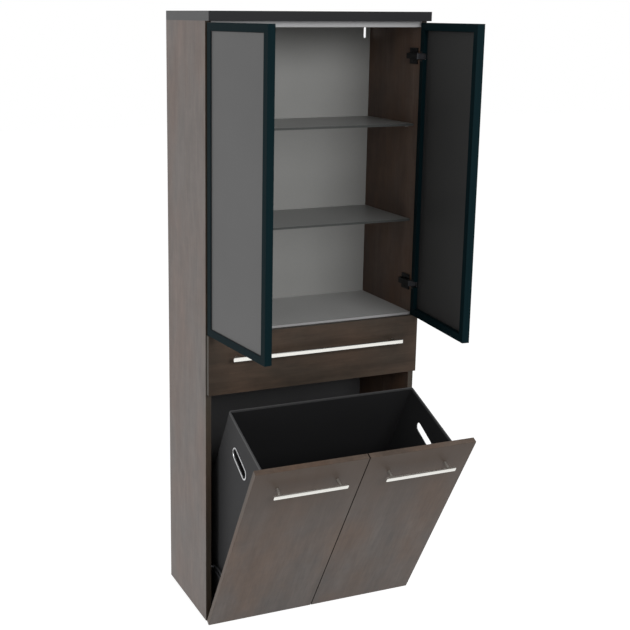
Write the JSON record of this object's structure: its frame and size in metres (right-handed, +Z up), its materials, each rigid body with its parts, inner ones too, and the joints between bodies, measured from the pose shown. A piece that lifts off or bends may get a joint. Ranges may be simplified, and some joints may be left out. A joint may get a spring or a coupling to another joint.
{
  "type": "tall bathroom cabinet",
  "caption": "Wall-hung tall cabinet with framed glass doors and glass shelves above, a drawer, and a tilting laundry flap with basket below.",
  "frame": {"origin": "on the wall plane, centred across the width, at the lower ends of the side panels", "axes": "+Z up, +Y from the room into the wall, +X to the right of someone facing the cabinet; doors and flap open towards -Y"},
  "size_m": [0.65, 0.6505, 1.7071],
  "materials": {
    "dark_oak_carcass": "matt wood-grain foil",
    "dark_oak_front": "matt wood-grain foil",
    "anthracite_laminate": "matt anthracite laminate",
    "grey_board": "matt light grey melamine",
    "grey_back_board": "matt light grey melamine",
    "shelf_glass": "satin grey glass",
    "door_frame": "dark petrol anodised",
    "satin_glass": "satin dark grey glass",
    "handle_chrome": "bright chrome",
    "drawer_board": "matt grey melamine",
    "basket_shell": "matt anthracite",
    "rim_metal": "satin",
    "hinge_black": "black plated hinge",
    "zinc_steel": "zinc plated"
  },
  "bodies": {
    "carcass": {"back_panel": "grey_back_board", "bottom_board": "grey_board", "cover_plate": "anthracite_laminate", "door_left_hinge_arms": "hinge_black", "door_right_hinge_arms": "hinge_black", "drawer_divider": "grey_board", "flap_hinge_fixed_leaves": "zinc_steel", "lower_shelf": "shelf_glass", "middle_floor": "grey_board", "runner_fixed_members": "zinc_steel", "shelf_pins": "zinc_steel", "side_panel_left": "dark_oak_carcass", "side_panel_right": "dark_oak_carcass", "stay_studs": "zinc_steel", "suspension_plates": "zinc_steel", "top_board": "grey_board", "upper_shelf": "shelf_glass"},
    "flap": {"basket_slot_rims": "rim_metal", "flap_front_left": "dark_oak_front", "flap_front_right": "dark_oak_front", "flap_handle_bar_left": "handle_chrome", "flap_handle_bar_right": "handle_chrome", "flap_handle_posts_left": "handle_chrome", "flap_handle_posts_right": "handle_chrome", "flap_hinge_moving_leaves": "zinc_steel", "flap_hinge_pins": "zinc_steel", "flap_stay_left": "zinc_steel", "flap_stay_right": "zinc_steel", "flap_tie_rails": "zinc_steel", "laundry_basket": "basket_shell"},
    "door_left": {"door_left_free_stile": "door_frame", "door_left_glass": "satin_glass", "door_left_hinge_cups": "hinge_black", "door_left_hinge_pins": "zinc_steel", "door_left_hinge_stile": "door_frame", "door_left_rails": "door_frame"},
    "door_right": {"door_right_free_stile": "door_frame", "door_right_glass": "satin_glass", "door_right_hinge_cups": "hinge_black", "door_right_hinge_pins": "zinc_steel", "door_right_hinge_stile": "door_frame", "door_right_rails": "door_frame"},
    "drawer": {"drawer_back": "drawer_board", "drawer_bottom_panel": "drawer_board", "drawer_front": "dark_oak_front", "drawer_handle_bar": "handle_chrome", "drawer_handle_posts": "handle_chrome", "drawer_side_left": "drawer_board", "drawer_side_right": "drawer_board", "runner_moving_members": "zinc_steel"}
  },
  "joints": [
    {"name": "door_left_hinge", "type": "hinge", "parent": "carcass", "child": "door_left", "pos_m": [-0.3165, -0.321, 1.2605], "axis": [0, 0, 1], "range_deg": [-10, 85]},
    {"name": "door_right_hinge", "type": "hinge", "parent": "carcass", "child": "door_right", "pos_m": [0.3165, -0.321, 1.2605], "axis": [0, 0, 1], "range_deg": [-84.6, 10.4]},
    {"name": "drawer_slide", "type": "slide", "parent": "carcass", "child": "drawer", "axis": [0, -1, 0], "range_m": [0, 0.2]},
    {"name": "flap_tilt", "type": "hinge", "parent": "carcass", "child": "flap", "pos_m": [0, -0.308, 0.002], "axis": [1, 0, 0], "range_deg": [-29.6, 0]}
  ]
}
